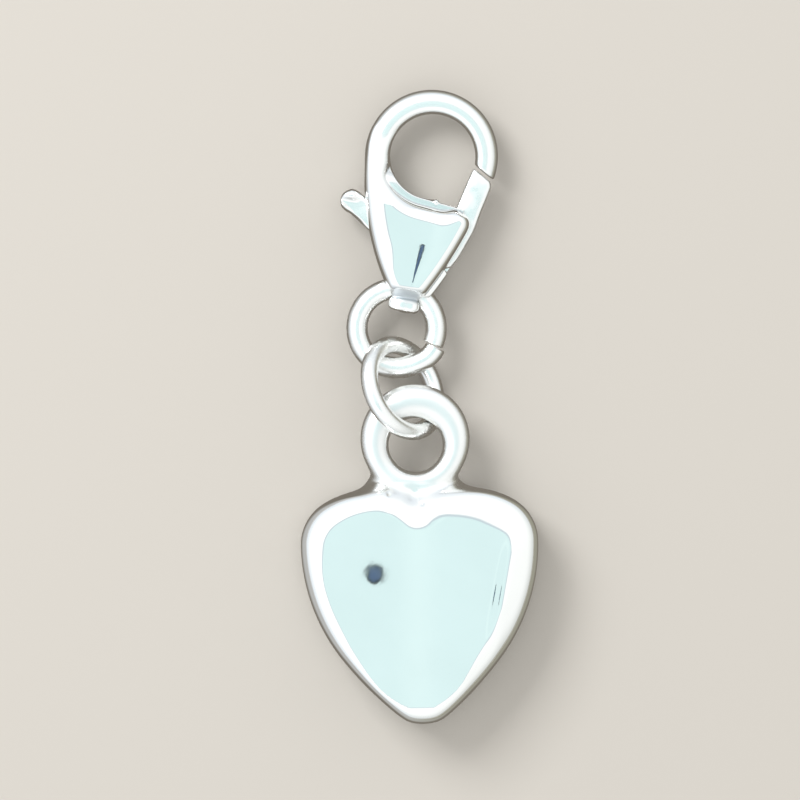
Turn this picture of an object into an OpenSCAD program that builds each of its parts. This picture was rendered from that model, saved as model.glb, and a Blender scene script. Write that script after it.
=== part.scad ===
// Clip-on heart charm lying on its back: a puffed heart with a soldered bail ring,
// two jump rings and a lobster clasp with a turning lever. Millimetres, +Z up.
// The origin is the middle of the charm's footprint, on the surface that it lies on.

/* [Heart] */
// Thickness of the puffed heart from its flat back to its crown
heart_thick = 3.9; // [3.4:0.1:4.4]
// Width of the rounded shoulder around the heart's face, seen from above
heart_shoulder = 1.2; // [0.8:0.05:1.35]
// How far the face rises from its rim to its middle
face_crown = 0.16; // [0.05:0.01:0.3]
// Turn of the heart about Z
heart_turn = 1.5; // [0:0.5:4]
// Place of the heart's point
heart_tip = [0.225, -15];

/* [Rings] */
// Middle line radius of the bail ring on the heart
bail_r = 1.96; // [1.9:0.01:2.05]
// Wire diameter of the bail ring
bail_wire = 1.18; // [1.1:0.02:1.2]
// Place of the bail ring's middle
bail_at = [-0.2, -1.65, 2.17];
// Middle line radius of the ring between the bail and the clasp ring
link_r = 2.15; // [2.14:0.01:2.17]
// Wire diameter of the middle ring
link_wire = 0.82; // [0.7:0.02:0.84]
// Place of the middle ring's centre
link_at = [-0.79, 0.94, 2.05];
// Direction of the axis that the middle ring is tilted about
link_axis = 115; // [114:0.5:116]
// Tilt of the middle ring out of level
link_tilt = 49; // [48:0.5:50]
// Middle line radius of the ring in the clasp's eyelet
clasp_ring_r = 1.87; // [1.84:0.01:1.9]
// Wire diameter of the clasp ring
clasp_ring_wire = 0.96; // [0.86:0.02:0.98]
// Place of the clasp ring's middle
clasp_ring_at = [-1.08, 3.77, 1.57];

/* [Clasp] */
// Turn of the clasp about Z
clasp_turn = -9.8; // [-12:0.1:-8]
// Place of the middle of the hook's round opening
hook_at = [0.62, 11.86];
// Middle line radius of the hook
hook_r = 2.58; // [2.56:0.01:2.62]
// Wire diameter of the hook
hook_wire = 1.12; // [1.06:0.02:1.16]
// Thickness of the clasp's body
body_thick = 2.8; // [2.7:0.05:2.9]
// Width of the slot that the lever turns in
slot_w = 1.2; // [1.18:0.01:1.26]
// Thickness of the lever's flat arm
lever_thick = 1.1; // [1:0.01:1.12]
// Diameter of the pivot pin
pin_d = 0.8; // [0.7:0.02:0.9]
// How far the lever turns to open the gate
lever_open = 28; // [20:1:28]

/* [Hidden] */
silver = "gainsboro";
round_fn = 64;
blob_fn = 24;
// Height of such a sphere's flat end, as a share of its radius
blob_pole = cos(180 / blob_fn);
far = 20;

// The heart's right half as arcs from its point to its cleft: each row is the arc's
// radius and the outline's direction where the arc ends; the last ends at the cleft
HEART_ARCS = [
    [1.47, 38.8],
    [17, 52.4],
    [8.93, 90],
    [2.27, 149.7],
    [4.2, 214]
];
arc_steps = [5, 5, 6, 8, 8];
shoulder_slopes = [0, 16, 32, 47, 61, 74, 84];
face_rings = [0.7, 0.36];
face_middle = [0, 6.5];
heart_mid = (heart_thick - face_crown) / 2;
shoulder_end = shoulder_slopes[len(shoulder_slopes) - 1];

clasp_mid = body_thick / 2;
running_gap = 0.03;
pin_fit = 0.02;
// Middle of the pin, in the clasp's own frame whose origin is the hook's middle
pivot = [1.25, -3.66];
hub_r = 1.02;
hook_hole_r = hook_r - hook_wire / 2;
tip_cut_at = [2.53, -0.32];
tip_slope = -30;
gate_gap = 0.09;
// Rounded corners of the clasp's body: x, y, radius in plan, half thickness
BODY_CORNERS = [
    [-2.2, -1.9, 0.74, 0.8],
    [-1.8, -2.8, 0.85, body_thick / 2],
    [-1.46, -3.9, 0.88, body_thick / 2],
    [1.15, -2.72, 0.7, body_thick / 2],
    [1.78, -2.74, 0.54, body_thick / 2],
    [0.86, -4.9, 0.76, body_thick / 2],
    [-0.1, -6.46, 0.92, 1.2]
];
// Corners of the lever's gate arm, then of the bar that carries the thumb tab
GATE = [[1.42, -2.6], [1.76, -1.35], [2.14, -0.2], [2.92, -0.65], [2.96, -0.97], [2.86, -1.47],
    [2.71, -2.12], [2.6, -2.71], [2.49, -3.21], [2.26, -3.75], [1.66, -5.03], [1.3, -4.6]];
TAB_BAR = [[0.6, -2.9], [-2.86, -2.18], [-3.5, -2.17], [-3.83, -3], [-2.37, -3.93], [0.3, -3.9]];
tab_end = [-3.4, -2.7];
tab_r = 0.54;
tab_thick = 1.9;
slot_room = 0.1;

function arc_start(i) = i == 0 ? 0 : HEART_ARCS[i - 1][1];
function along(angle) = [sin(angle), -cos(angle)];
// Centre of each arc, carried on from the one before it so that the outline stays smooth
function arc_centre(i) = i == 0
    ? [0, HEART_ARCS[0][0]]
    : arc_centre(i - 1) + (HEART_ARCS[i - 1][0] - HEART_ARCS[i][0]) * along(arc_start(i));
last_arc = len(HEART_ARCS) - 1;
cleft_centre = arc_centre(last_arc);
// Direction at which the last arc, drawn in by inset, meets the heart's middle line
function cleft_angle(inset) = 180 + asin(cleft_centre[0] / (HEART_ARCS[last_arc][0] - inset));
function arc_end(i, inset) = i == last_arc ? cleft_angle(inset) : HEART_ARCS[i][1];
function half_outline(inset) = [
    for (i = [0:last_arc], s = [1:arc_steps[i]])
        let (angle = arc_start(i) + (arc_end(i, inset) - arc_start(i)) * s / arc_steps[i])
            arc_centre(i) + (HEART_ARCS[i][0] - inset) * along(angle)
];
function outline(inset) = let (half = half_outline(inset), n = len(half)) concat(
    [[0, inset]], half, [for (k = [n - 2:-1:0]) [-half[k][0], half[k][1]]]);
function lifted(points, z) = [for (p = points) [p[0], p[1], z]];
function shrunk(points, keep) = [for (p = points) face_middle + keep * (p - face_middle)];
function shoulder_inset(slope) = heart_shoulder * (1 - cos(slope));
function shoulder_rise(slope) = heart_mid * sin(slope) / sin(shoulder_end);
function turned(p, angle, centre) = centre + [
    (p - centre)[0] * cos(angle) - (p - centre)[1] * sin(angle),
    (p - centre)[0] * sin(angle) + (p - centre)[1] * cos(angle)];

// Level rings from the flat back, round the shoulder and up to the crown
module puffed_heart() {
    steps = len(shoulder_slopes);
    rim = outline(shoulder_inset(shoulder_end));
    rings = concat(
        [for (k = [steps - 1:-1:1]) lifted(outline(shoulder_inset(shoulder_slopes[k])),
            heart_mid - shoulder_rise(shoulder_slopes[k]))],
        [for (k = [0:steps - 1]) lifted(outline(shoulder_inset(shoulder_slopes[k])),
            heart_mid + shoulder_rise(shoulder_slopes[k]))],
        [for (keep = face_rings) lifted(shrunk(rim, keep),
            2 * heart_mid + face_crown * (1 - keep * keep))]);
    count = len(rings[0]);
    levels = len(rings);
    points = concat([for (ring = rings) each ring],
        [[face_middle[0], face_middle[1], 0], [face_middle[0], face_middle[1], heart_thick]]);
    back = count * levels;
    crown = back + 1;
    polyhedron(points, concat(
        [for (i = [0:count - 1]) [back, i, (i + 1) % count]],
        [for (r = [0:levels - 2], i = [0:count - 1])
            let (a = r * count + i, b = r * count + (i + 1) % count) each
                [[a, a + count, b + count], [a, b + count, b]]],
        [for (i = [0:count - 1])
            [crown, (levels - 1) * count + (i + 1) % count, (levels - 1) * count + i]]));
}

module ring(radius, wire) {
    rotate_extrude($fn = round_fn) translate([radius, 0]) circle(d = wire, $fn = round_fn / 2);
}

// Solder that fills the heart's cleft up to the bail ring
module bail_neck() {
    hull() {
        for (side = [-1, 1]) {
            translate([side * 1.45, 11.75, 2.1]) sphere(r = 0.5, $fn = blob_fn);
            translate([side * 1.75, 10.9, 1.9]) sphere(r = 0.75, $fn = blob_fn);
        }
        translate([0, 10.2, 1.8]) sphere(r = 0.95, $fn = blob_fn);
    }
}

module heart() {
    color(silver) {
        difference() {
            union() {
                translate([heart_tip[0], heart_tip[1], 0]) rotate(heart_turn) {
                    puffed_heart();
                    bail_neck();
                }
                translate(bail_at) ring(bail_r, bail_wire);
            }
            translate([bail_at[0], bail_at[1], 0])
                cylinder(r = bail_r - bail_wire / 2, h = far, center = true, $fn = round_fn);
        }
    }
}

module link_ring() {
    color(silver)
        translate(link_at) rotate([0, 0, link_axis]) rotate([link_tilt, 0, 0]) ring(link_r, link_wire);
}

// A ring with one saw cut, whose lower end stands out a little
module clasp_ring() {
    color(silver)
        translate(clasp_ring_at) difference() {
            ring(clasp_ring_r, clasp_ring_wire);
            rotate(-25) translate([clasp_ring_r, 0, 0]) cube([2, 0.06, 2], center = true);
        }
}

module in_clasp_frame() {
    translate([hook_at[0], hook_at[1], clasp_mid]) rotate(clasp_turn) children();
}

module body_blank() {
    hull()
        for (c = BODY_CORNERS)
            translate([c[0], c[1], 0]) scale([c[2], c[2], c[3] / blob_pole])
                sphere(r = 1, $fn = blob_fn);
}

// Hook wire from its slanted end round to the body
module hook() {
    difference() {
        rotate(-14) rotate_extrude(angle = 238, $fn = round_fn)
            translate([hook_r, 0]) circle(d = hook_wire, $fn = round_fn / 2);
        translate(tip_cut_at) rotate(tip_slope) translate([-hook_wire, -hook_wire, -hook_wire])
            cube([2 * hook_wire, hook_wire, 2 * hook_wire]);
    }
}

// Room inside the body that the lever sweeps through as it turns
module lever_slot() {
    shelf = turned([0.3, -3.9], lever_open, pivot);
    foot = turned([-2.37, -3.93], lever_open, pivot);
    run = (foot - shelf) / norm(foot - shelf);
    aside = slot_room * [-run[1], run[0]];
    linear_extrude(slot_w, center = true) {
        translate(pivot) circle(r = hub_r + slot_room, $fn = round_fn);
        polygon([pivot, [0.64, -2.76], [-3.1, -2.03], [-4.4, -2], [-4.4, -5.2],
            foot + 0.8 * run + aside, shelf + aside]);
        polygon([pivot, turned([3.9, -3.66], 115, pivot), [1.2, -1.05], [4, -1.05], [4, -5.5],
            [1.3, -5.5]]);
    }
}

// Opening for the clasp ring, which follows that ring round
module eyelet_hole() {
    translate([clasp_ring_at[0], clasp_ring_at[1], clasp_ring_at[2]])
        ring(clasp_ring_r, clasp_ring_wire + 0.24);
}

module clasp_body() {
    color(silver)
        difference() {
            in_clasp_frame() difference() {
                union() {
                    body_blank();
                    hook();
                }
                translate([0, 0, -far / 2]) cylinder(r = hook_hole_r, h = far, $fn = round_fn);
                lever_slot();
                translate([pivot[0], pivot[1], -far])
                    cylinder(d = pin_d + 2 * pin_fit, h = far + clasp_mid - 0.35, $fn = round_fn);
            }
            eyelet_hole();
        }
}

module lever() {
    color(silver)
        in_clasp_frame() difference() {
            union() {
                linear_extrude(lever_thick, center = true) difference() {
                    union() {
                        polygon(GATE);
                        polygon(TAB_BAR);
                        translate(pivot) circle(r = hub_r, $fn = round_fn);
                        translate(tab_end) circle(r = tab_r, $fn = round_fn);
                    }
                    translate(tip_cut_at) rotate(tip_slope)
                        translate([-1.5, -gate_gap]) square([3, 2]);
                }
                translate(tab_end) cylinder(r = tab_r, h = tab_thick, center = true, $fn = round_fn);
            }
            translate(pivot) cylinder(d = pin_d + 2 * running_gap, h = far, center = true,
                $fn = round_fn);
        }
}

module pivot_pin() {
    color(silver)
        in_clasp_frame() translate([pivot[0], pivot[1], 0.05 - clasp_mid])
            cylinder(d = pin_d, h = body_thick - 0.45, $fn = round_fn);
}

heart();
link_ring();
clasp_ring();
clasp_body();
lever();
pivot_pin();
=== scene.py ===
"""A clip-on heart charm of polished silver, lying on its back on a pale surface.

The heart, the clasp's body and its lever are shaped by fields: functions of a point that
are below zero inside the metal and zero on its surface. The two jump rings are swept wires.
All sizes are in millimetres until a mesh is made, which is in metres.
"""
import math

import bpy
import numpy as np
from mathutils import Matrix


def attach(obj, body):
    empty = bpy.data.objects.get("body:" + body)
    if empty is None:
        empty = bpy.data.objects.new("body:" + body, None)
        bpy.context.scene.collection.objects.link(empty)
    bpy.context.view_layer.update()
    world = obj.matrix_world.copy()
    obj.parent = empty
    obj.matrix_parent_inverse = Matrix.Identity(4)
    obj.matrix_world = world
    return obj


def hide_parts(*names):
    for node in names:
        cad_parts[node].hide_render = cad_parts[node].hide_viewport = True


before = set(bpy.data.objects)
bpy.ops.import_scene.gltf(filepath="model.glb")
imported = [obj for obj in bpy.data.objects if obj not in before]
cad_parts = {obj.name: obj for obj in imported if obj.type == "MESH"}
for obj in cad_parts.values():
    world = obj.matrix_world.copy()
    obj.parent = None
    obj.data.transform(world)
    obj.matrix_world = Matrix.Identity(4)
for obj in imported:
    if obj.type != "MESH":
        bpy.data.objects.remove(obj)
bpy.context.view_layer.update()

MM = 0.001

# The photograph's frame
IMAGE_MIDDLE = (-0.92, 0.38)
FRAME_WIDTH = 37.74
SCALE_LEVEL = 1.8
CAMERA_HEIGHT = 350.0
SENSOR_WIDTH = 36.0

# Heart, in its own frame: the origin is its point and +y runs up its middle line
HEART_TIP = (0.225, -15.0)
HEART_TURN = 1.5
HEART_ARCS = ((1.47, 38.8), (17.0, 52.4), (8.93, 90.0), (2.27, 149.7), (4.2, 214.0))
HEART_MIDDLE = 1.87
SHOULDER_WIDTHS = ((-180, 0.85), (-164, 0.4), (-150, 0.4), (-135, 0.6), (-110, 0.86), (-75, 0.92),
                   (-53, 1.3), (-22, 0.98), (-3, 1.32), (11, 1.14), (30, 1.48), (50, 1.75),
                   (62, 1.2), (85, 1.08), (110, 1.2), (142, 0.93), (161, 0.55), (180, 0.85))
SHOULDER_FROM = 6.0
SHOULDER_SPREAD = (-7.5, -4.5, -1.5, 1.5, 4.5, 7.5)
FACE_END = 0.95
FACE_END_POWER = 4
PUFF_SCALE = 0.6
CROWN_TOP = 3.88
CROWN_AT = (-2.3, -9.2)
CROWN_RADIUS = 60.0
CREASE_AT = (3.95, -8.6)
CREASE_TURN = -10.0
CREASE_WIDTH = 0.36
CREASE_HEIGHT = 0.065
CREASE_LENGTH = 2.6

# Bail ring and solder on the heart: the ring is what lies between two circles with middles apart
BAIL_OUTER = ((-0.21, -1.455), 2.57)
BAIL_INNER = ((-0.185, -1.74), 1.275)
BAIL_LEVEL = 2.31
BAIL_HALF = 0.58
BAIL_POWER = 2.1
NECK_AT = (-0.27, -3.9)
NECK_HALF = (2.2, 1.45)
NECK_LEVEL = 1.6
NECK_TOP = 2.85
NECK_RISE = 0.42
NECK_RISE_FROM = -3.45
NECK_RISE_END = 1.5
NECK_POWER = 2.5
NECK_SCALE = 0.9
NECK_OVERLAP = 0.25
NECK_BLEND = 0.3
BAIL_BLEND = 0.5
SOLDER_BLEND = 0.7
FILLET_AT = (-1.9, -3.95)
FILLET_SPREAD = 0.65
FILLET_BLEND = 0.6

# Pits in the solder: each one's place, size and depth
DENTS = ((-1.44, -4.03, 0.11, 0.045), (0.12, -4.5, 0.12, 0.04), (1.11, -4.43, 0.12, 0.04),
         (-0.25, -4.1, 0.4, 0.15))
DENT_RUN = (1.6, 0.8)

# Jump rings
LINK_AT = (-0.79, 0.94, 2.05)
LINK_RADIUS = 2.15
LINK_WIRE = 0.82
LINK_AXIS = 115.0
LINK_TILT = 49.0
UPPER_AT = (-1.08, 3.77, 1.57)
UPPER_RADIUS = 1.87
UPPER_WIRE = 1.0
SAW_CUT_AT = -25.0
SAW_CUT = 0.06
SAW_BEVEL = 0.05
SAW_SHARP = 35.0
CUT_STEP = 0.17
CUT_STEP_RUN = (0.86, 0.14)
RING_SECTIONS = 360
WIRE_SIDES = 64

# Clasp's hook, in the clasp's frame: the origin is the middle of the hook's opening
HOOK_AT = (0.62, 11.86)
CLASP_TURN = -9.8
CLASP_LEVEL = 1.4
HOOK_OUTER = ((-0.05, 0.03), 3.13)
HOOK_INNER = ((0.0, 0.0), 2.02)
HOOK_HALF = 0.57
HOOK_POWER = 2.2
HOOK_LEAN = 0.8
HOOK_TIP = (2.53, -0.32)
HOOK_CUT_FROM = 0.5
TIP_SLOPE = -30.0
TIP_BLEND = 0.2
HOOK_BLEND = 0.15

# Clasp's body. A value named _RUN holds where a smooth change begins and how long it is
BODY_LEFT = ((8.86, 0.3), 12.0)
BODY_RIGHT = ((-15.79, 2.785), 19.0)
BODY_HALF = 1.4
BODY_POWER = 2.6
BODY_SCALE = 0.5
BACK_OUT = 0.16
BACK_LEVELS = 0.6
BACK_TOP_RUN = (3.6, 1.0)
BACK_END_RUN = (-6.7, 0.6)
LEFT_WIDTH = 0.98
LEFT_LESS = 0.42
LEFT_RUN = (4.2, 2.0)
RIGHT_WIDTH = 0.46
TOP_WIDTH = 1.12
TOP_LESS = 0.55
TOP_RUN = (0.9, 1.2)
TOP_EDGE_FROM = (-0.2, -2.01)
TOP_EDGE_SLOPE = -0.1
STEM_TOP = 0.9
STEM_OPEN = 0.7
STEM_TAPER = 3.5
STEM_IN = 0.05
STEM_RUN = (-0.9, 1.4)
STEM_SIDE_FROM = -0.25
CORNER_IN = -0.24
CORNER_WIDTH = 0.5
CORNER_WAY = 0.707
RIM_BLEND = 0.06
RIM_EDGE = 0.12

# Ledge along the hook's opening, and the skirt at the lower right
LEDGE_WIDTH = 0.28
LEDGE_LEVEL = 0.87
LEDGE_DROP = 0.28
LEDGE_FALL = 0.5
LEDGE_BOTTOM = -0.5
LEDGE_IN = 0.35
LEDGE_TOP = -0.3
LEDGE_RIGHT = 1.9
LEDGE_RUN = (0.3, 1.2)
LEDGE_TAPER_RUN = (0.6, 1.2)
LEDGE_FOOT_RUN = (0.1, 0.3)
SKIRT_OUT = 0.22
SKIRT_LEVEL = 0.85
SKIRT_SLOPE = 0.4
SKIRT_TOP = -5.1
SKIRT_BOTTOM = -1.0
SKIRT_LEFT = 0.3
SKIRT_RUN = (5.1, 0.3)

# Front plate: two flat sides with a ridge between them
FACET_SLOPE = 0.06
FACET_ROUND = (0.15, 0.9)
FACET_ENDS = (-5.9, -4.1)
RIDGE_AT = (0.085, -5.94)
RIDGE_SLOPE = 0.0879
FACE_LEAN = 0.0185
FACE_BEND = 0.03
FACE_BEND_SOFT = 0.05
FACE_RUN = (0.4, 2.6)

# Lower end of the body, its hollowed neck and its tail
BODY_END = -6.36
BODY_END_BOW = 0.12
BODY_END_LEVEL = 1.32
BODY_END_TILT = 50.0
END_BLEND = 0.2
PLAN_POWER = 3.5
THROAT_AT = (-0.13, -6.65)
THROAT_HALF = (0.585, 0.45)
THROAT_LEVEL = 0.88
THROAT_LOW = -0.15
THROAT_CROWN = 0.3
THROAT_EDGE = 0.2
TAIL_AT = (-0.15, -7.12)
TAIL_HALF = (0.73, 0.3)
TAIL_LEVEL = 1.06
TAIL_CROWN = 0.16
TAIL_WAVE = 0.008
TAIL_WAVES = 11
TAIL_EDGE = 0.3
TAIL_BLEND = 0.16
NUB_AT = (0.54, -2.09, 0.78)
NUB_RADIUS = 0.12
NUB_BLEND = 0.12
EYELET_ROOM = 0.12
EYELET_EDGE = 0.12

# Slot and pin bore, with the corners of the room that the tab and the gate need in turning
PIVOT = (1.25, -3.66)
HUB_RADIUS = 1.02
PIN_BORE = 0.42
PIN_BORE_TOP = 1.05
LEVER_BORE = 0.43
BORE_EDGE = 0.04
SLOT_HALF = 0.6
SLOT_ROOM = 0.1
SLOT_END = -5.24
SLOT_EDGE = 0.08
SLOT_INNER_EDGE = 0.05
TAB_ROOM = ((0.64, -2.76), (-3.1, -2.25), (-4.4, -2.2), (-4.4, -5.2))
FOOT_REACH = 0.8
GATE_ROOM = ((1.2, -1.05), (4.0, -1.05), (4.0, SLOT_END), (1.3, SLOT_END))
GATE_SIDE = (3.9, -3.66)
GATE_SIDE_TURN = 115.0

# Lever: the gate arm's outline, then the tab's, with the lip's edge between corners 3 and 4
LEVER_OPEN = 28.0
LEVER_HALF = 0.55
LEVER_EDGE = 0.26
GATE_GAP = 0.09
GATE = ((1.42, -2.6), (1.7, -1.35), (2.0, -0.15), (2.92, -0.65), (2.96, -0.97), (2.86, -1.47),
        (2.71, -2.12), (2.6, -2.71), (2.49, -3.21), (2.31, -3.7), (2.15, -4.15), (1.97, -4.6),
        (1.74, -5.0), (1.5, -5.1), (1.3, -4.6))
GATE_BLEND = 0.05
GATE_END_BLEND = 0.4
ARM_CROWN = 0.05
ARM_WIDTH = 0.55
ARM_RUN = (-3.0, 0.5)
TAB_BAR = ((0.6, -2.9), (-2.8, -2.42), (-3.5, -2.17), (-3.83, -3.0), (-2.37, -3.93), (0.3, -3.9))
TAB_END = (-3.4, -2.7)
TAB_RADIUS = 0.54
TAB_BLEND = 0.15
TAB_RUN = (0.04, 0.6)
TAB_ROLL_UP = 0.22
TAB_ROLL_END = -2.42
TAB_ROLL_FALL = 0.4
TAB_LIP_RUN = (0.03, 0.16)
TAB_CROWN = 0.25
TAB_EDGE_MORE = 0.18
WEB_EDGE_LESS = 0.3

# The set: what stands round the charm, and the tent's light by direction
FLOOR_HALF = 1500.0
TENT_RADIUS = 600.0
TENT_TOP = (0.75, 0.945, 0.95)
TENT_STRIPE = (0.79, 0.985, 0.985)
TENT_SEAM = (0.6, 0.7, 0.75)
SEAM_ANGLES = (14.0, 17.0, 21.0)
TENT_BRIGHT = (1.15, 1.17, 1.16)
TENT_DIM = (1.0, 1.02, 1.01)
TENT_SIDES = ((0.86, 0.92, 0.97), (0.72, 0.74, 0.72))
TENT_LOW = ((0.55, 0.58, 0.61), (0.33, 0.32, 0.26))
SIDE_HEIGHTS = (0.12, 0.62)
LOW_HEIGHT = 0.14
DARK_SIDE = (0.85, -0.5, 0.0)
DARK_SIDE_RANGE = (-0.3, 1.0)
STRIPE_AT = 0.075
STRIPE_FADE = 0.05
# Painted shade in the mirrored ground: dark near the charm, and darker and browner to its right
GROUND_NEAR = (0.2, 0.18, 0.15)
GROUND_FAR = ((0.5, 0.5, 0.49), (0.34, 0.33, 0.27))
GROUND_FADE = (5.8, 10.0)
GROUND_SPINE = (-11.0, 12.0)
GROUND_RADIUS = 80.0
GROUND_LEVEL = 0.02
FLOOR_COLOUR = (0.54, 0.515, 0.475)
WORLD_COLOUR = (1.0, 0.99, 0.97)
WORLD_LIGHT = 0.93
KEY_POWER = 0.75
KEY_SIZE = 0.16
KEY_AT = (-0.17, 0.17, 0.24)
LENS_AT = (-0.92, 0.38, 340.0)
LENS_RADIUS = 6.4
LENS_COLOUR = (0.04, 0.055, 0.06)
GLASS_AT = (-0.92, 0.38, 339.0)
GLASS_RADIUS = 4.2
GLASS_COLOUR = (0.1, 0.16, 0.27)
DISC_SIDES = 48
TENT_ROWS = 24
TENT_COLUMNS = 64

# Silver: its tone, and the scale of each noise in bumps per metre with its height in metres
SILVER_TONE = (0.97, 0.975, 0.965)
TONE_DARKER = 0.97
TONE_NOISE = 350
POLISH_NOISE = 1300
POLISH_RANGE = (0.7, 1.4)
WAVES = ((260, 3e-6), (1500, 1.2e-6))
SCRATCH_NOISE = 9000
SCRATCH_HEIGHT = 1.5e-7
SCRATCHES = (((1, 0.06, 1), 20), ((0.06, 1, 1), -35))
GRAIN_NOISE = 14000
GRAIN_HEIGHT = 1e-7

# Tarnish: how tight a hollow has to be, per millimetre, to hold it, and the tone that it has, which also
# colours the painted grey shade and the painted reflection band
TARNISH_RUN = (6.0, 8.0)
TARNISH_AND_SHADE_TONE = (0.5, 0.54, 0.57)
TARNISH_ROUGHNESS = 0.3

# Wear: what brushing and thumbs change; and where painted grey lies: a painted reflection band on the
# bail's crest, painted shade on the clasp's neck and ledge
BRUSHED_ROUGHNESS = 0.19
BAIL_BRUSHED_RUN = (-4.6, 0.9)
BAIL_DULLER = 0.25
BAIL_DULLER_RUN = (-3.9, 0.6)
BAIL_PAINTED_REFLECTION = 0.2
BAIL_CREST = 0.45
BAIL_CREST_WIDTH = 0.22
HOOK_BRUSHED_RUN = (-2.4, 1.4)
TAIL_BRUSHED_RUN = (6.3, 0.4)
# Painted shade on the clasp's neck and along its ledge
THROAT_PAINTED_SHADE = 0.8
THROAT_GREY_HALF = (0.72, 0.34)
THROAT_GREY_ABOVE = 0.7
LEDGE_PAINTED_SHADE = 0.2
LEDGE_GREY_WIDTH = 0.26
LEDGE_GREY_TOP = -0.7
LEDGE_GREY_ABOVE = 0.6
THUMBED = -0.9
THUMBED_RUN = (2.1, 0.3)
LEVER_TARNISH = 0.25

# Meshes: the box and the grid step of each shape, and how its points are settled and evened
HEART_BOX = ((-5.9, -15.3, -0.2), (5.9, 1.4, 4.2))
HEART_STEP = 0.068
CLASP_BOX = ((-3.9, 4.0, -0.2), (4.3, 15.4, 3.0))
CLASP_STEP = 0.045
LEVER_BOX = ((-4.4, 6.0, 0.2), (4.2, 12.2, 2.6))
LEVER_STEP = 0.037
SETTLE_ROUNDS = 3
EVEN_ROUNDS = 3
EVEN_SHARE = 0.5

# Sections of the pillow shapes: how the shoulder leaves the face, and how square its side is
FACE_POWER = 1.6
SIDE_POWER = 5.5

# Least width that a ring between two circles is taken to have, which keeps its field finite
RING_THINNEST = 0.2


def smooth_min(a, b, width):
    """The smaller of two fields, blended where they differ by less than width."""
    near = np.maximum(width - np.abs(a - b), 0) / width
    return np.minimum(a, b) - near ** 3 * width / 6


def smooth_max(a, b, width):
    """The larger of two fields, blended where they differ by less than width."""
    return -smooth_min(-a, -b, width)


def eased(t):
    """0 below 0, 1 above 1, and a smooth rise between."""
    t = np.clip(t, 0, 1)
    return t * t * t * (t * (6 * t - 15) + 10)


def rise(value, run):
    """A smooth rise from 0 to 1 that begins at the run's first number and is as long as its second."""
    start, length = run
    return eased((value - start) / length)


def in_frame(x, y, at, turn):
    """World x and y as seen in a frame that stands at a place and is turned about Z."""
    c, s = math.cos(math.radians(turn)), math.sin(math.radians(turn))
    u, v = x - at[0], y - at[1]
    return c * u + s * v, c * v - s * u


def in_circle(x, y, circle):
    """How far a point lies inside a circle, given as its middle and its radius."""
    (cx, cy), radius = circle
    return radius - np.hypot(x - cx, y - cy)


def turned(point, angle, centre):
    """The point turned about a centre."""
    c, s = math.cos(math.radians(angle)), math.sin(math.radians(angle))
    u, v = point[0] - centre[0], point[1] - centre[1]
    return centre[0] + c * u - s * v, centre[1] + s * u + c * v


def polygon_distance(x, y, corners):
    """Distance from a polygon's edge, below zero inside it."""
    nearest = np.full(np.broadcast(x, y).shape, 1e9)
    sign = np.ones_like(nearest)
    for k, (ax, ay) in enumerate(corners):
        bx, by = corners[k - 1]
        ex, ey = bx - ax, by - ay
        wx, wy = x - ax, y - ay
        t = np.clip((wx * ex + wy * ey) / (ex * ex + ey * ey), 0, 1)
        nearest = np.minimum(nearest, (wx - ex * t) ** 2 + (wy - ey * t) ** 2)
        above, below, left = y >= ay, y < by, ex * wy > ey * wx
        crosses = (above & below & left) | ~(above | below | left)
        sign = np.where(crosses, -sign, sign)
    return sign * np.sqrt(nearest)


def heart_arcs():
    """Each arc of the heart's right half as its centre, radius, first and last direction."""
    arcs, start, centre, last = [], 0.0, (0.0, HEART_ARCS[0][0]), None
    for radius, end in HEART_ARCS:
        if last is not None:
            reach = last - radius
            a = math.radians(start)
            centre = (centre[0] + reach * math.sin(a), centre[1] - reach * math.cos(a))
        arcs.append((centre, radius, start, end))
        start, last = end, radius
    centre, radius, start, _ = arcs[-1]
    arcs[-1] = (centre, radius, start, 180 + math.degrees(math.asin(centre[0] / radius)))
    return arcs


ARCS = heart_arcs()


def heart_inset(x, y):
    """How far a point of the heart's frame lies inside the heart's outline."""
    x = np.abs(x)
    (cx, cy), radius, _, end = ARCS[-1]
    corner = (cx + radius * math.sin(math.radians(end)), cy - radius * math.cos(math.radians(end)))
    best = np.hypot(x - corner[0], y - corner[1])
    for (cx, cy), radius, start, end in ARCS:
        way = np.degrees(np.arctan2(x - cx, cy - y)) % 360
        inset = radius - np.hypot(x - cx, y - cy)
        best = np.where((way >= start) & (way <= end) & (np.abs(inset) < np.abs(best)), inset, best)
    return best


def pillow(out, up):
    """A field from shares of the way out to the outline and up to the face, each 1 at its end."""
    return out ** FACE_POWER + up ** SIDE_POWER - 1


def ring_share(x, y, outer, inner):
    """The way across a ring between two circles, 0 at the inner one and 1 at the outer one."""
    out, into = in_circle(x, y, outer), -in_circle(x, y, inner)
    return into / np.maximum(out + into, RING_THINNEST)


def eccentric_ring(x, y, z, outer, inner, half, power, lean=1.0):
    """A ring between two circles, whose section is an oval that leans to one side."""
    share = ring_share(x, y, outer, inner)
    across = np.abs(2 * np.sign(share) * np.abs(share) ** lean - 1)
    return ((across ** power + (np.abs(z) / half) ** power) ** (1 / power) - 1) * half


def rounded_plan(x, y, middle, half):
    """A rectangle with soft corners, below zero inside."""
    shares = [np.abs(v - m) / h for v, m, h in zip((x, y), middle, half)]
    return (sum(s ** PLAN_POWER for s in shares) ** (1 / PLAN_POWER) - 1) * min(half)


def shoulder_width(u, v):
    """Width of the heart's shoulder by the direction from the heart's middle."""
    ways, widths = zip(*SHOULDER_WIDTHS)
    way = np.degrees(np.arctan2(u, v - SHOULDER_FROM))
    near = [np.interp(way + aside, ways, widths, period=360) for aside in SHOULDER_SPREAD]
    return sum(near) / len(near)


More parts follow.
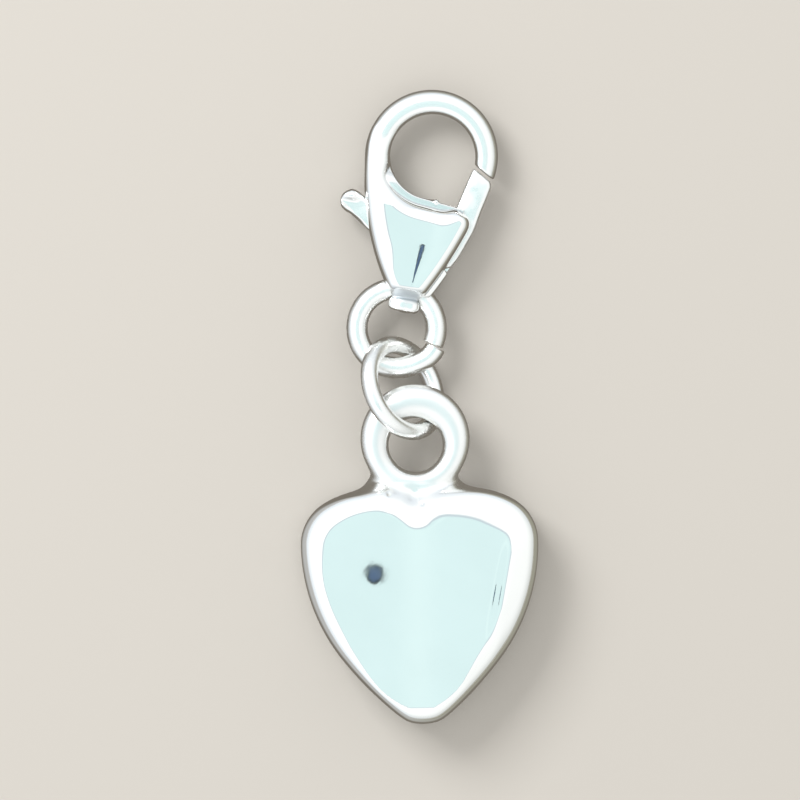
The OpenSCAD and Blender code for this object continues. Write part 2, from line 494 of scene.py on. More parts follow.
def heart_face(x, y):
    """Level of the heart's gently crowned face, with the faint crease at its right."""
    from_crown = (x - CROWN_AT[0]) ** 2 + (y - CROWN_AT[1]) ** 2
    across, along = in_frame(x, y, CREASE_AT, CREASE_TURN)
    crease = CREASE_HEIGHT * np.exp(-(across / CREASE_WIDTH) ** 2 - (along / CREASE_LENGTH) ** 4)
    return CROWN_TOP - from_crown / (2 * CROWN_RADIUS) + crease


def neck_field(x, y, z):
    """The solder's ramp between the heart and its bail ring."""
    top = NECK_TOP + NECK_RISE * np.clip(NECK_RISE_FROM - y, 0, NECK_RISE_END)
    shares = (np.abs(x - NECK_AT[0]) / NECK_HALF[0],
              np.abs(y - NECK_AT[1]) / NECK_HALF[1],
              np.abs(z - NECK_LEVEL) / (top - NECK_LEVEL))
    neck = (sum(share ** NECK_POWER for share in shares) ** (1 / NECK_POWER) - 1) * NECK_SCALE
    return smooth_max(neck, in_circle(x, y, BAIL_INNER) + NECK_OVERLAP, NECK_BLEND)


def heart_field(x, y, z):
    """The puffed heart, the bail ring and the solder between them, with a flat back."""
    dent = sum(depth * np.exp(-((x - px) ** 2 + (y - py) ** 2) / size ** 2)
               for px, py, size, depth in DENTS)
    z = z + dent * rise(z, DENT_RUN)
    u, v = in_frame(x, y, HEART_TIP, HEART_TURN)
    out = np.maximum(1 - heart_inset(u, v) / shoulder_width(u, v), 0)
    end = np.maximum(1 - v / FACE_END, 0)
    out = (out ** FACE_END_POWER + end ** FACE_END_POWER) ** (1 / FACE_END_POWER)
    half = np.where(z > HEART_MIDDLE, heart_face(x, y) - HEART_MIDDLE, HEART_MIDDLE)
    puffed = pillow(out, np.abs(z - HEART_MIDDLE) / half) * PUFF_SCALE
    bail = eccentric_ring(x, y, z - BAIL_LEVEL, BAIL_OUTER, BAIL_INNER, BAIL_HALF, BAIL_POWER)
    from_fillet = np.hypot(x - FILLET_AT[0], y - FILLET_AT[1]) / FILLET_SPREAD
    blend = SOLDER_BLEND + FILLET_BLEND * np.exp(-from_fillet ** 2)
    metal = smooth_min(puffed, smooth_min(bail, neck_field(x, y, z), BAIL_BLEND), blend)
    return np.maximum(metal, -z)


def over_tip(x, y):
    """How far a point lies above the slanted line on which the hook's tip is cut off."""
    a = math.radians(TIP_SLOPE)
    return (x - HOOK_TIP[0]) * -math.sin(a) + (y - HOOK_TIP[1]) * math.cos(a)


def hook_field(x, y, z):
    """The hook's bent wire, cut off on a slant at its tip."""
    wire = eccentric_ring(x, y, z, HOOK_OUTER, HOOK_INNER, HOOK_HALF, HOOK_POWER, HOOK_LEAN)
    return smooth_max(wire, -np.maximum(over_tip(x, y), HOOK_CUT_FROM - x), TIP_BLEND)


def slot_field(x, y, z):
    """Room inside the clasp's body that the lever sweeps through as it turns."""
    foot, shelf = (np.array(turned(corner, LEVER_OPEN, PIVOT)) for corner in TAB_BAR[4:])
    run = foot - shelf
    run = run / np.hypot(*run)
    aside = SLOT_ROOM * np.array((-run[1], run[0]))
    tab_room = (PIVOT, *TAB_ROOM, tuple(foot + FOOT_REACH * run + aside), tuple(shelf + aside))
    gate_room = (PIVOT, turned(GATE_SIDE, GATE_SIDE_TURN, PIVOT), *GATE_ROOM)
    plan = -in_circle(x, y, (PIVOT, HUB_RADIUS + SLOT_ROOM))
    for room in (tab_room, gate_room):
        plan = np.minimum(plan, polygon_distance(x, y, room))
    return smooth_max(plan, np.abs(z) - SLOT_HALF, SLOT_INNER_EDGE)


def under_top_edge(x, y):
    """How far a point lies below the body's top edge: the hook's opening, then a straight run."""
    along = np.array((1, TOP_EDGE_SLOPE)) / math.hypot(1, TOP_EDGE_SLOPE)
    u, v = x - TOP_EDGE_FROM[0], y - TOP_EDGE_FROM[1]
    below = along[1] * u - along[0] * v
    return np.where(along[0] * u + along[1] * v > 0, below, -in_circle(x, y, HOOK_INNER))


def face_drop(x, y):
    """How far the front plate lies below its highest level."""
    from_ridge = x - (RIDGE_AT[0] + (y - RIDGE_AT[1]) * RIDGE_SLOPE)
    round_by = np.interp(y, FACET_ENDS, FACET_ROUND)
    facets = FACET_SLOPE * (np.sqrt(from_ridge ** 2 + round_by ** 2) - round_by)
    up = y - FACET_ENDS[1]
    bend = FACE_BEND * FACE_BEND_SOFT * np.logaddexp(0, up / FACE_BEND_SOFT)
    return facets + bend - FACE_LEAN * up


def neck_and_tail(x, y, z):
    """The hollowed neck below the housing and the tail that closes the eyelet."""
    u, v = x - THROAT_AT[0], y - THROAT_AT[1]
    top = THROAT_LEVEL + (v - THROAT_LOW) ** 2 - THROAT_CROWN * u ** 2
    throat = smooth_max(rounded_plan(x, y, THROAT_AT, THROAT_HALF), np.abs(z) - top, THROAT_EDGE)
    u, v = x - TAIL_AT[0], y - TAIL_AT[1]
    top = TAIL_LEVEL - TAIL_CROWN * (u ** 2 + v ** 2) - TAIL_WAVE * np.sin(TAIL_WAVES * x + 1)
    tail = smooth_max(rounded_plan(x, y, TAIL_AT, TAIL_HALF), np.abs(z) - top, TAIL_EDGE)
    return smooth_min(throat, tail, TAIL_BLEND)


def body_sides(x, y):
    """How far a point lies inside the body's left side, its front's right side and its top edge."""
    stem_in = STEM_IN * rise(y, STEM_RUN)
    from_left = in_circle(x, y, BODY_LEFT)
    hook_left = in_circle(x, y, HOOK_OUTER) - stem_in
    from_left = np.where(y > STEM_SIDE_FROM, np.minimum(from_left, hook_left), from_left)
    return from_left, in_circle(x, y, BODY_RIGHT), under_top_edge(x, y) - stem_in


def body_half(y):
    """Half the body's thickness, which tapers along the stem to the hook's."""
    share = np.clip((STEM_TOP - y) / STEM_TAPER, 0, 1)
    return HOOK_HALF + (BODY_HALF - HOOK_HALF) * share


def housing_field(x, y, z):
    """The housing and its stem, as a pillow between the body's sides."""
    from_left, from_right, from_top = body_sides(x, y)
    left = LEFT_WIDTH - LEFT_LESS * rise(-y, LEFT_RUN)
    top = TOP_WIDTH - TOP_LESS * rise(x, TOP_RUN)
    back_out = BACK_OUT * eased(0.5 - z / BACK_LEVELS) * rise(-y, BACK_TOP_RUN) * rise(y, BACK_END_RUN)
    inset = LEDGE_WIDTH * rise(-y, LEDGE_RUN) * (1 - rise(x, LEDGE_TAPER_RUN)) * rise(z, LEDGE_FOOT_RUN)
    sides = (from_left / left,
             (from_right + back_out) / RIGHT_WIDTH,
             (from_top - inset) / (top - inset),
             (CORNER_IN - (x + y) * CORNER_WAY) / CORNER_WIDTH,
             STEM_TOP + STEM_OPEN - y)
    out = sum(np.maximum(1 - side, 0) ** BODY_POWER for side in sides) ** (1 / BODY_POWER)
    half = body_half(y)
    up = np.where(z > 0, z / (half - face_drop(x, y) * rise(-y, FACE_RUN)), -z / half)
    return pillow(out, up) * BODY_SCALE


def ledge_field(x, y, z):
    """The ledge along the hook's opening, lower than the front plate."""
    from_left, from_right, from_top = body_sides(x, y)
    level = smooth_min(body_half(y) - LEDGE_DROP, LEDGE_LEVEL, RIM_BLEND)
    level = level - LEDGE_FALL * (1 - rise(-y, LEDGE_RUN))
    ledge = smooth_max(np.maximum(-from_top, LEDGE_BOTTOM - z), z - level, RIM_EDGE)
    ledge = np.maximum(ledge, LEDGE_IN - np.minimum(from_left, from_right))
    return np.maximum(ledge, np.maximum(y - LEDGE_TOP, x - LEDGE_RIGHT))


def skirt_field(x, y, z):
    """The rim that stands out at the lower right, lower than the front plate."""
    from_right = in_circle(x, y, BODY_RIGHT)
    level = SKIRT_LEVEL + SKIRT_SLOPE * np.minimum(from_right, 0)
    outside = np.maximum(-from_right - SKIRT_OUT * rise(-y, SKIRT_RUN), SKIRT_BOTTOM - z)
    skirt = smooth_max(outside, z - level, RIM_EDGE)
    return np.maximum(skirt, np.maximum(y - SKIRT_TOP, SKIRT_LEFT - x))


def body_field(x, y, z):
    """The clasp's body before its slot is cut, with its stem, neck and tail."""
    body = smooth_min(housing_field(x, y, z), ledge_field(x, y, z), RIM_BLEND)
    body = smooth_min(body, skirt_field(x, y, z), RIM_BLEND)
    end_at = BODY_END + BODY_END_BOW * (x - THROAT_AT[0]) ** 2
    a = math.radians(BODY_END_TILT)
    end = (end_at - y) * math.sin(a) + (np.abs(z) - BODY_END_LEVEL) * math.cos(a)
    body = smooth_max(body, end, END_BLEND)
    return smooth_min(body, neck_and_tail(x, y, z), END_BLEND)


def clasp_field(x, y, z):
    """The clasp's body with its hook, in the world frame."""
    u, v = in_frame(x, y, HOOK_AT, CLASP_TURN)
    w = z - CLASP_LEVEL
    metal = smooth_min(body_field(u, v, w), hook_field(u, v, w), HOOK_BLEND)
    from_nub = np.sqrt((u - NUB_AT[0]) ** 2 + (v - NUB_AT[1]) ** 2 + (w - NUB_AT[2]) ** 2)
    metal = smooth_min(metal, from_nub - NUB_RADIUS, NUB_BLEND)
    metal = smooth_max(metal, -slot_field(u, v, w), SLOT_EDGE)
    bore = smooth_max(-in_circle(u, v, (PIVOT, PIN_BORE)), w - PIN_BORE_TOP, BORE_EDGE)
    metal = smooth_max(metal, -bore, BORE_EDGE)
    reach = np.hypot(x - UPPER_AT[0], y - UPPER_AT[1]) - UPPER_RADIUS
    eyelet = np.hypot(reach, z - UPPER_AT[2]) - UPPER_WIRE / 2 - EYELET_ROOM
    return smooth_max(metal, -eyelet, EYELET_EDGE)


def lever_plan(u, v):
    """The outline of the gate arm, the hub and the thumb tab, below zero inside."""
    tab_end = -in_circle(u, v, (TAB_END, TAB_RADIUS))
    tab = smooth_min(polygon_distance(u, v, TAB_BAR), tab_end, TAB_BLEND)
    plan = smooth_min(polygon_distance(u, v, GATE), tab, GATE_BLEND)
    plan = np.minimum(plan, -in_circle(u, v, (PIVOT, HUB_RADIUS)))
    return smooth_max(plan, over_tip(u, v) + GATE_GAP, GATE_END_BLEND)


def lever_field(x, y, z):
    """The lever with its gate arm, hub and thumb tab, in the world frame."""
    u, v = in_frame(x, y, HOOK_AT, CLASP_TURN)
    w = z - CLASP_LEVEL
    plan = lever_plan(u, v)
    on_tab = rise(-in_circle(u, v, BODY_LEFT), TAB_RUN)
    (ax, ay), (bx, by) = TAB_BAR[3], TAB_BAR[4]
    from_lip = ((u - ax) * (ay - by) + (v - ay) * (bx - ax)) / math.hypot(bx - ax, by - ay)
    web = eased((TAB_ROLL_END - v) / TAB_ROLL_FALL) * rise(from_lip, TAB_LIP_RUN)
    arm = ARM_CROWN * rise(v, ARM_RUN) * np.clip(1 + plan / ARM_WIDTH, 0, 1) ** 2
    half = LEVER_HALF - arm + on_tab * TAB_ROLL_UP * (1 - web)
    crown = TAB_CROWN * on_tab * ((v - TAB_ROLL_END) ** 2 * (1 - web))
    edge = LEVER_EDGE + on_tab * (TAB_EDGE_MORE - WEB_EDGE_LESS * web)
    metal = smooth_max(plan, np.abs(w) - half + crown, edge)
    return smooth_max(metal, in_circle(u, v, (PIVOT, LEVER_BORE)), BORE_EDGE)


def crossing_points(values):
    """One vertex for each grid cell that the surface passes through, and the cells' numbers."""
    inside = values < 0
    shape = tuple(n - 1 for n in values.shape)
    count = np.zeros(shape, np.uint8)
    offsets = [(i, j, k) for i in (0, 1) for j in (0, 1) for k in (0, 1)]
    for i, j, k in offsets:
        count += inside[i:shape[0] + i, j:shape[1] + j, k:shape[2] + k]
    cells = np.argwhere((count > 0) & (count < 8))
    number = np.full(shape, -1)
    number[tuple(cells.T)] = np.arange(len(cells))
    total, crossings = np.zeros((len(cells), 3)), np.zeros(len(cells))
    for a in offsets:
        for axis in range(3):
            if a[axis]:
                continue
            step = np.eye(3, dtype=int)[axis]
            va = values[tuple((cells + a).T)]
            vb = values[tuple((cells + a + step).T)]
            cut = (va < 0) != (vb < 0)
            t = va[cut] / (va[cut] - vb[cut])
            total[cut] += cells[cut] + a + t[:, None] * step
            crossings[cut] += 1
    return total / crossings[:, None], number, inside


def crossing_faces(number, inside):
    """One outward face for each grid edge that the surface crosses."""
    faces = []
    for axis in range(3):
        one = np.eye(3, dtype=int)
        forward, u, v = one[axis], one[(axis + 1) % 3], one[(axis + 2) % 3]
        lower = inside[tuple(slice(0, -1) if f else slice(None) for f in forward)]
        upper = inside[tuple(slice(1, None) if f else slice(None) for f in forward)]
        edges = np.argwhere(lower != upper)
        leaves = lower[tuple(edges.T)]
        ring = [number[tuple((edges + shift).T)] for shift in (-u - v, -v, 0 * u, -u)]
        quads = np.stack(ring, axis=1)
        quads[~leaves] = quads[~leaves][:, ::-1]
        faces.append(quads)
    return np.concatenate(faces)


def slope(field, points, step):
    """Gradient of a field at points."""
    columns = []
    for axis in range(3):
        aside = np.zeros(3)
        aside[axis] = step
        columns.append((field(*(points + aside).T) - field(*(points - aside).T)) / (2 * step))
    return np.stack(columns, axis=1)


def settled(field, points, step, rounds):
    """Points moved on to the surface along the field's gradient."""
    for _ in range(rounds):
        gradient = slope(field, points, step)
        move = (field(*points.T) / (gradient ** 2).sum(1))[:, None] * gradient
        length = np.sqrt((move ** 2).sum(1))
        points = points - move * np.minimum(1, step / np.maximum(length, 1e-12))[:, None]
    return points


def evened(points, faces, share):
    """Points moved towards the middle of their neighbours."""
    total, count = np.zeros_like(points), np.zeros(len(points))
    for k in range(4):
        a, b = faces[:, k], faces[:, (k + 1) % 4]
        for axis in range(3):
            total[:, axis] += np.bincount(a, points[b, axis], len(points))
            total[:, axis] += np.bincount(b, points[a, axis], len(points))
        count += np.bincount(a, minlength=len(points)) + np.bincount(b, minlength=len(points))
    return points + share * (total / count[:, None] - points)


def hollowness(field, points, step):
    """How tightly hollow a surface is at its points, per millimetre, and zero where it bulges."""
    spread = np.zeros(len(points))
    for axis in range(3):
        aside = np.zeros(3)
        aside[axis] = step
        for side in (1, -1):
            gradient = slope(field, points + side * aside, step / 2)
            spread += side * gradient[:, axis] / np.sqrt((gradient ** 2).sum(1)) / (2 * step)
    return np.maximum(-spread, 0)


def make_mesh(name, points, faces, normals=None):
    """A smooth-shaded mesh object from millimetre points."""
    mesh = bpy.data.meshes.new(name)
    mesh.from_pydata((points * MM).tolist(), [], faces)
    mesh.shade_smooth()
    if normals is not None:
        mesh.normals_split_custom_set_from_vertices(normals.tolist())
    piece = bpy.data.objects.new(name, mesh)
    bpy.context.scene.collection.objects.link(piece)
    return piece


def surface_piece(name, field, low, high, step, brushed, wear_and_shade):
    """A closed mesh on a field's surface within a box, with the field's own normals.

    Tight hollows hold tarnish. Brushed tells where the metal is rougher, and wear_and_shade changes the
    tarnish and adds painted grey shade and a painted reflection band.
    """
    axes = [np.arange(low[i], high[i] + step, step) for i in range(3)]
    values = field(axes[0][:, None, None], axes[1][None, :, None], axes[2][None, None, :])
    points, number, inside = crossing_points(np.broadcast_to(values, [len(a) for a in axes]))
    faces = crossing_faces(number, inside)
    points = np.array(low) + points * step
    points = settled(field, points, step / 4, SETTLE_ROUNDS)
    for _ in range(EVEN_ROUNDS):
        points = settled(field, evened(points, faces, EVEN_SHARE), step / 4, 2)
    points = settled(field, points, step / 8, SETTLE_ROUNDS)
    normals = slope(field, points, step / 8)
    normals /= np.sqrt((normals ** 2).sum(1))[:, None]
    piece = make_mesh(name, points, faces.tolist(), normals)
    tarnish_and_shade = wear_and_shade(rise(hollowness(field, points, step), TARNISH_RUN), *points.T)
    tarnish_and_shade = np.clip(tarnish_and_shade, 0, 1)
    roughening = TARNISH_ROUGHNESS * tarnish_and_shade + BRUSHED_ROUGHNESS * brushed(*points.T)
    for label, values in (("tarnish_and_shade", tarnish_and_shade), ("roughening", roughening)):
        attribute = piece.data.attributes.new(label, "FLOAT", "POINT")
        attribute.data.foreach_set("value", values.astype(np.float32))
    return piece


def ring_frame(at, axis_turn, tilt):
    """Rotation and place of a ring whose own axis is +Z before it is tilted."""
    a, t = math.radians(axis_turn), math.radians(tilt)
    turn = np.array([[math.cos(a), -math.sin(a), 0], [math.sin(a), math.cos(a), 0], [0, 0, 1]])
    lean = np.array([[1, 0, 0], [0, math.cos(t), -math.sin(t)], [0, math.sin(t), math.cos(t)]])
    return turn @ lean, np.array(at)


def swept_ring(name, at, axis_turn, tilt, radius, wire, start=0.0, sweep=360.0, step_out=0.0):
    """A bent wire. A sweep of less than a full turn is closed by flat sawn ends."""
    closed = sweep >= 360
    rotation, place = ring_frame(at, axis_turn, tilt)
    if closed:
        shares = np.linspace(0, 1, RING_SECTIONS, endpoint=False)
        scales = np.ones(len(shares))
    else:
        shares = np.linspace(0, 1, RING_SECTIONS + 1)
        edge = SAW_BEVEL / (radius * math.radians(sweep))
        shares = np.concatenate([[0, 0, edge], shares[2:-2], [1 - edge, 1, 1]])
        scales = np.ones(len(shares))
        scales[[0, -1]] = 0.5
        scales[[1, -2]] = 1 - 2 * SAW_BEVEL / wire
    phi = np.linspace(0, 2 * math.pi, WIRE_SIDES, endpoint=False)
    rings = []
    for share, scale in zip(shares, scales):
        angle = math.radians(start + sweep * share)
        out = radius + step_out * float(rise(share, CUT_STEP_RUN))
        reach = out + wire / 2 * scale * np.cos(phi)
        rings.append(np.stack([reach * math.cos(angle), reach * math.sin(angle),
                               wire / 2 * scale * np.sin(phi)], axis=1))
    points = np.concatenate(rings) @ rotation.T + place
    count = len(rings)
    faces = []
    for r in range(count if closed else count - 1):
        here, after = r * WIRE_SIDES, (r + 1) % count * WIRE_SIDES
        for k in range(WIRE_SIDES):
            n = (k + 1) % WIRE_SIDES
            faces.append((here + k, after + k, after + n, here + n))
    if not closed:
        last = (count - 1) * WIRE_SIDES
        faces.append(list(range(WIRE_SIDES)))
        faces.append(list(range(last, last + WIRE_SIDES))[::-1])
    piece = make_mesh(name, points, faces)
    if not closed:
        piece.data.set_sharp_from_angle(angle=math.radians(SAW_SHARP))
    return piece


def silver(name, roughness, grain):
    """Polished silver with fine scratches, faint waves and uneven polish, darkened by tarnish and by
    painted shade.
    """
    material = bpy.data.materials.new(name)
    material.use_nodes = True
    nodes, links = material.node_tree.nodes, material.node_tree.links
    shader = nodes["Principled BSDF"]
    shader.inputs["Metallic"].default_value = 1.0
    place = nodes.new("ShaderNodeTexCoord")

    def noise(scale, detail, stretch=(1, 1, 1), turn=0.0):
        facing = nodes.new("ShaderNodeMapping")
        facing.inputs["Rotation"].default_value = (0, 0, math.radians(turn))
        sizing = nodes.new("ShaderNodeMapping")
        sizing.inputs["Scale"].default_value = [scale * s for s in stretch]
        texture = nodes.new("ShaderNodeTexNoise")
        texture.inputs["Scale"].default_value = 1.0
        texture.inputs["Detail"].default_value = detail
        links.new(place.outputs["Object"], facing.inputs["Vector"])
        links.new(facing.outputs["Vector"], sizing.inputs["Vector"])
        links.new(sizing.outputs["Vector"], texture.inputs["Vector"])
        return texture.outputs["Fac"]

    def ranged(value, low, high, first=0.3, last=0.7):
        node = nodes.new("ShaderNodeMapRange")
        node.inputs["From Min"].default_value = first
        node.inputs["From Max"].default_value = last
        node.inputs["To Min"].default_value = low
        node.inputs["To Max"].default_value = high
        links.new(value, node.inputs["Value"])
        return node.outputs["Result"]

    def bumped(height, distance, before=None):
        node = nodes.new("ShaderNodeBump")
        node.inputs["Strength"].default_value = 1.0
        node.inputs["Distance"].default_value = distance
        links.new(height, node.inputs["Height"])
        if before is not None:
            links.new(before, node.inputs["Normal"])
        return node.outputs["Normal"]

    def attribute(label):
        node = nodes.new("ShaderNodeAttribute")
        node.attribute_name = label
        return node.outputs["Fac"]

    tint = nodes.new("ShaderNodeMix")
    tint.data_type = "RGBA"
    tint.inputs["A"].default_value = (*[TONE_DARKER * t for t in SILVER_TONE], 1)
    tint.inputs["B"].default_value = (*SILVER_TONE, 1)
    links.new(ranged(noise(TONE_NOISE, 2), 0, 1), tint.inputs["Factor"])
    # The base colour goes towards the tarnish tone by the tarnish_and_shade attribute: real tarnish in
    # tight hollows, plus painted shade on the clasp's neck and ledge and a painted reflection band on the
    # bail
    tarnished_and_shaded = nodes.new("ShaderNodeMix")
    tarnished_and_shaded.data_type = "RGBA"
    tarnished_and_shaded.inputs["B"].default_value = (*TARNISH_AND_SHADE_TONE, 1)
    links.new(tint.outputs["Result"], tarnished_and_shaded.inputs["A"])
    links.new(attribute("tarnish_and_shade"), tarnished_and_shaded.inputs["Factor"])
    links.new(tarnished_and_shaded.outputs["Result"], shader.inputs["Base Color"])
    uneven = ranged(noise(POLISH_NOISE, 4), *(roughness * share for share in POLISH_RANGE))
    rougher = nodes.new("ShaderNodeMath")
    links.new(attribute("roughening"), rougher.inputs[0])
    links.new(uneven, rougher.inputs[1])
    links.new(rougher.outputs["Value"], shader.inputs["Roughness"])
    normal = None
    for scale, height in WAVES:
        normal = bumped(noise(scale, 1), height, normal)
    for stretch, turn in SCRATCHES:
        normal = bumped(noise(SCRATCH_NOISE, 2, stretch, turn), SCRATCH_HEIGHT * grain, normal)
    normal = bumped(noise(GRAIN_NOISE, 3), GRAIN_HEIGHT * grain, normal)
    links.new(normal, shader.inputs["Normal"])
    return material


def plain(name, colour, strength=None):
    """A matt stage material, or one that glows by itself."""
    material = bpy.data.materials.new(name)
    material.use_nodes = True
    nodes, links = material.node_tree.nodes, material.node_tree.links
    shader = nodes["Principled BSDF"]
    shader.inputs["Base Color"].default_value = (*colour, 1)
    shader.inputs["Roughness"].default_value = 0.9
    shader.inputs["Specular IOR Level"].default_value = 0.1
    if strength is not None:
        shader.inputs["Base Color"].default_value = (0, 0, 0, 1)
        shader.inputs["Specular IOR Level"].default_value = 0.0
        shader.inputs["Emission Color"].default_value = (*colour, 1)
        shader.inputs["Emission Strength"].default_value = strength
    return material


def reflected_only(piece):
    """A studio thing that the metal mirrors, but that lights nothing and isn't seen itself."""
    piece.visible_camera = False
    piece.visible_diffuse = False
    piece.visible_shadow = False
    piece.visible_transmission = False


def stage_disc(name, at, radius, material):
    """A level disc that only the metal sees."""
    corners = [(at[0] + radius * math.cos(a), at[1] + radius * math.sin(a), at[2])
               for a in np.linspace(0, 2 * math.pi, DISC_SIDES, endpoint=False)]
    piece = make_mesh(name, np.array(corners), [list(range(DISC_SIDES))[::-1]])
    piece.data.materials.append(material)
    reflected_only(piece)


def glow_material(name, coordinates, make_colour):
    """A material that glows by itself, coloured by where it is."""
    material = bpy.data.materials.new(name)
    material.use_nodes = True
    nodes, links = material.node_tree.nodes, material.node_tree.links
    nodes.clear()
    place = nodes.new("ShaderNodeTexCoord")

    def ranged(value, first, last, low=0.0, high=1.0):
        node = nodes.new("ShaderNodeMapRange")
        node.interpolation_type = "SMOOTHSTEP"
        for label, amount in (("From Min", first), ("From Max", last), ("To Min", low), ("To Max", high)):
            node.inputs[label].default_value = amount
        links.new(value, node.inputs["Value"])
        return node.outputs["Result"]

    def mixed(factor, a, b):
        node = nodes.new("ShaderNodeMix")
        node.data_type = "RGBA"
        for socket, value in (("A", a), ("B", b)):
            if isinstance(value, tuple):
                node.inputs[socket].default_value = (*value, 1)
            else:
                links.new(value, node.inputs[socket])
        links.new(factor, node.inputs["Factor"])
        return node.outputs["Result"]

    def vector(operation, first, second=None, output="Vector"):
        node = nodes.new("ShaderNodeVectorMath")
        node.operation = operation
        links.new(first, node.inputs[0])
        if second is not None:
            node.inputs[1].default_value = second
        return node.outputs[output]

    def number(operation, first, second=0.0):
        node = nodes.new("ShaderNodeMath")
        node.operation = operation
        for socket, value in zip(node.inputs, (first, second)):
            if isinstance(value, float):
                socket.default_value = value
            else:
                links.new(value, socket)
        return node.outputs["Value"]

    def parts(value):
        node = nodes.new("ShaderNodeSeparateXYZ")
        links.new(value, node.inputs["Vector"])
        return node.outputs

    glow = nodes.new("ShaderNodeEmission")
    colour = make_colour(place.outputs[coordinates], ranged, mixed, vector, number, parts)
    links.new(colour, glow.inputs["Color"])
    end = nodes.new("ShaderNodeOutputMaterial")
    links.new(glow.outputs["Emission"], end.inputs["Surface"])
    return material


def tent_colour(place, ranged, mixed, vector, number, parts):
    """The tent by direction: cool overhead, white round it, paler to the side and darker low down."""
    direction = vector("NORMALIZE", place)
    x, _, height = parts(direction)
    rightward = ranged(vector("DOT_PRODUCT", direction, DARK_SIDE, "Value"), *DARK_SIDE_RANGE)
    off_stripe = number("ABSOLUTE", number("SUBTRACT", x, STRIPE_AT))
    roof = mixed(ranged(off_stripe, 0.0, STRIPE_FADE), TENT_STRIPE, TENT_TOP)
    side = mixed(ranged(height, *SIDE_HEIGHTS), mixed(rightward, *TENT_SIDES),
                 mixed(rightward, TENT_BRIGHT, TENT_DIM))
    side = mixed(ranged(height, 0.0, LOW_HEIGHT), mixed(rightward, *TENT_LOW), side)
    top, seam, white = (math.cos(math.radians(angle)) for angle in SEAM_ANGLES)
    upper = mixed(ranged(height, white, seam), side, TENT_SEAM)
    return mixed(ranged(height, seam, top), upper, roof)


def mirrored_ground_shade(place, ranged, mixed, vector, number, parts):
    """The ground as the metal mirrors it, with painted shade: dark close to the charm, darker and browner
    to its right, and paler farther out.
    """
    x, y, _ = parts(place)
    low, high = (end * MM for end in GROUND_SPINE)
    aside = number("SUBTRACT", y, number("MINIMUM", number("MAXIMUM", y, low), high))
    distance = number("SQRT", number("ADD", number("MULTIPLY", x, x), number("MULTIPLY", aside, aside)))
    near, far = (end * MM for end in GROUND_FADE)
    beyond = mixed(ranged(x, -far, far), *GROUND_FAR)
    return mixed(ranged(distance, near, far), GROUND_NEAR, beyond)


def build_tent():
    """A dome round the set that the silver mirrors. It is unseen and lights nothing else."""
    points, faces = [(0, 0, TENT_RADIUS)], []
    for r in range(1, TENT_ROWS + 1):
        lean = math.pi / 2 * r / TENT_ROWS
        reach, height = TENT_RADIUS * math.sin(lean), TENT_RADIUS * math.cos(lean)
        for a in np.linspace(0, 2 * math.pi, TENT_COLUMNS, endpoint=False):
            points.append((reach * math.cos(a), reach * math.sin(a), height))
    for k in range(TENT_COLUMNS):
        n = (k + 1) % TENT_COLUMNS
        faces.append((0, 1 + n, 1 + k))
        for r in range(TENT_ROWS - 1):
            a = 1 + r * TENT_COLUMNS
            b = a + TENT_COLUMNS
            faces.append((a + k, a + n, b + n, b + k))
    dome = make_mesh("tent", np.array(points), faces)
    dome.data.materials.append(glow_material("tent_light", "Object", tent_colour))
    reflected_only(dome)


def build_stage():
    """Floor, tent, key light, the lens that the silver mirrors, and the mirrored ground with its painted
    shade.
    """
    half = FLOOR_HALF
    corners = np.array([(-half, -half, 0), (half, -half, 0), (half, half, 0), (-half, half, 0)])
    floor = make_mesh("floor", corners, [(0, 1, 2, 3)])
    floor.data.materials.append(plain("pale_floor", FLOOR_COLOUR))
    world = bpy.data.worlds.new("surroundings")
    bpy.context.scene.world = world
    world.use_nodes = True
    background = world.node_tree.nodes["Background"]
    background.inputs["Color"].default_value = (*WORLD_COLOUR, 1)
    background.inputs["Strength"].default_value = WORLD_LIGHT
    build_tent()
    key = bpy.data.lights.new("key", "AREA")
    key.shape = "RECTANGLE"
    key.size = KEY_SIZE
    key.size_y = KEY_SIZE
    key.energy = KEY_POWER
    lamp = bpy.data.objects.new("key", key)
    lamp.location = KEY_AT
    lamp.rotation_euler = (-lamp.location).to_track_quat("-Z", "Y").to_euler()
    bpy.context.scene.collection.objects.link(lamp)
    stage_disc("lens_mirrored", LENS_AT, LENS_RADIUS, plain("lens_dark", LENS_COLOUR, 1.0))
    stage_disc("glass_mirrored", GLASS_AT, GLASS_RADIUS, plain("lens_glass", GLASS_COLOUR, 1.0))
    # A glowing disc that the metal mirrors in place of the floor, with painted shade near the charm and
    # to its right
    stage_disc("ground_mirrored", (0, 0, GROUND_LEVEL), GROUND_RADIUS,
               glow_material("mirrored_ground_painted_shade", "Object", mirrored_ground_shade))


def build_camera():
    """Straight above, with the photograph's frame."""
    data = bpy.data.cameras.new("camera")
    data.sensor_width = SENSOR_WIDTH
    data.lens = SENSOR_WIDTH * (CAMERA_HEIGHT - SCALE_LEVEL) / FRAME_WIDTH
    data.clip_start, data.clip_end = 0.01, 10.0
    camera = bpy.data.objects.new("camera", data)
    camera.location = (IMAGE_MIDDLE[0] * MM, IMAGE_MIDDLE[1] * MM, CAMERA_HEIGHT * MM)
    bpy.context.scene.collection.objects.link(camera)
    bpy.context.scene.camera = camera


def brushed_bail(x, y, z):
    """Where the heart piece is less bright: on its bail ring, down to the solder."""
    return rise(y, BAIL_BRUSHED_RUN) + BAIL_DULLER * rise(y, BAIL_DULLER_RUN)


def brushed_clasp(x, y, z):
    """Where the clasp's body is less bright: on its hook, and on its neck and tail."""
    v = in_frame(x, y, HOOK_AT, CLASP_TURN)[1]
    return rise(v, HOOK_BRUSHED_RUN) + rise(-v, TAIL_BRUSHED_RUN)


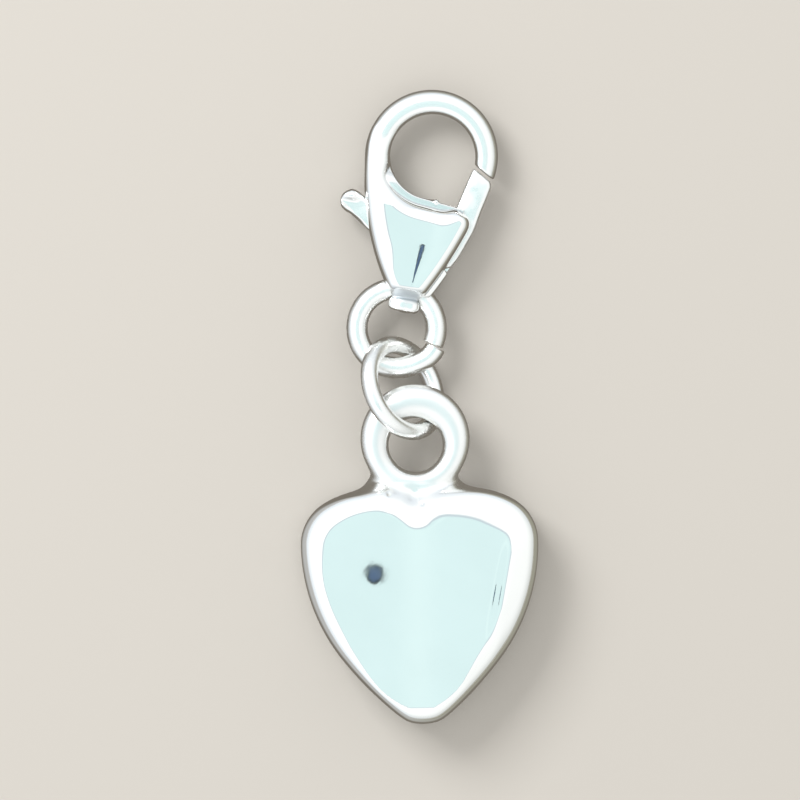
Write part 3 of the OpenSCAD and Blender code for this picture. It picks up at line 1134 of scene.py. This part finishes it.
def thumbed_tab(x, y, z):
    """Where thumbs have rubbed the lever's tab smoother than its arm."""
    return THUMBED * rise(-in_frame(x, y, HOOK_AT, CLASP_TURN)[0], THUMBED_RUN)


def bail_painted_reflection(tarnish_and_shade, x, y, z):
    """Adds a painted reflection: a faint grey band along the crest of the bail ring."""
    share = ring_share(x, y, BAIL_OUTER, BAIL_INNER)
    crest = np.exp(-((share - BAIL_CREST) / BAIL_CREST_WIDTH) ** 2) * (z > BAIL_LEVEL)
    return tarnish_and_shade + BAIL_PAINTED_REFLECTION * crest


def clasp_painted_shade(tarnish_and_shade, x, y, z):
    """Adds painted shade: a dull grey on the clasp's hollowed neck and along its ledge."""
    u, v = in_frame(x, y, HOOK_AT, CLASP_TURN)
    across, along = (u - THROAT_AT[0]) / THROAT_GREY_HALF[0], (v - THROAT_AT[1]) / THROAT_GREY_HALF[1]
    in_neck = np.exp(-across ** 8 - along ** 6) * (z > CLASP_LEVEL + THROAT_GREY_ABOVE)
    near_edge = (under_top_edge(u, v) < LEDGE_GREY_WIDTH) & (v < LEDGE_GREY_TOP)
    on_ledge = near_edge & (z > CLASP_LEVEL + LEDGE_GREY_ABOVE)
    return tarnish_and_shade + THROAT_PAINTED_SHADE * in_neck + LEDGE_PAINTED_SHADE * on_ledge


def worn_lever(tarnish_and_shade, x, y, z):
    """Most of the lever's tarnish rubs off in use."""
    return tarnish_and_shade * LEVER_TARNISH


def dress(piece, node, body, material):
    """Puts a piece in the place of a CAD node, on its body and with its finish."""
    piece.data.materials.append(material)
    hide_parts(node)
    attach(piece, body)


build_camera()
build_stage()

polished = silver("polished_silver", roughness=0.036, grain=1.0)
wire_finish = silver("wire_silver", roughness=0.25, grain=1.5)
grainy = silver("grainy_silver", roughness=0.34, grain=10.0)

heart = surface_piece("puffed_heart", heart_field, *HEART_BOX, HEART_STEP, brushed_bail, bail_painted_reflection)
dress(heart, "heart", "charm", polished)
clasp = surface_piece("clasp_shell", clasp_field, *CLASP_BOX, CLASP_STEP, brushed_clasp, clasp_painted_shade)
dress(clasp, "clasp_body", "charm", polished)
lever = surface_piece("clasp_lever", lever_field, *LEVER_BOX, LEVER_STEP, thumbed_tab, worn_lever)
dress(lever, "lever", "lever", grainy)
middle = swept_ring("middle_ring", LINK_AT, LINK_AXIS, LINK_TILT, LINK_RADIUS, LINK_WIRE)
dress(middle, "link_ring", "charm", wire_finish)
cut = math.degrees(SAW_CUT / UPPER_RADIUS)
upper = swept_ring("upper_ring", UPPER_AT, 0, 0, UPPER_RADIUS, UPPER_WIRE, SAW_CUT_AT + cut / 2,
                   360 - cut, CUT_STEP)
dress(upper, "clasp_ring", "charm", wire_finish)
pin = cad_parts["pivot_pin"]
pin.data.materials.clear()
pin.data.materials.append(polished)

bpy.context.scene.view_settings.view_transform = "Standard"
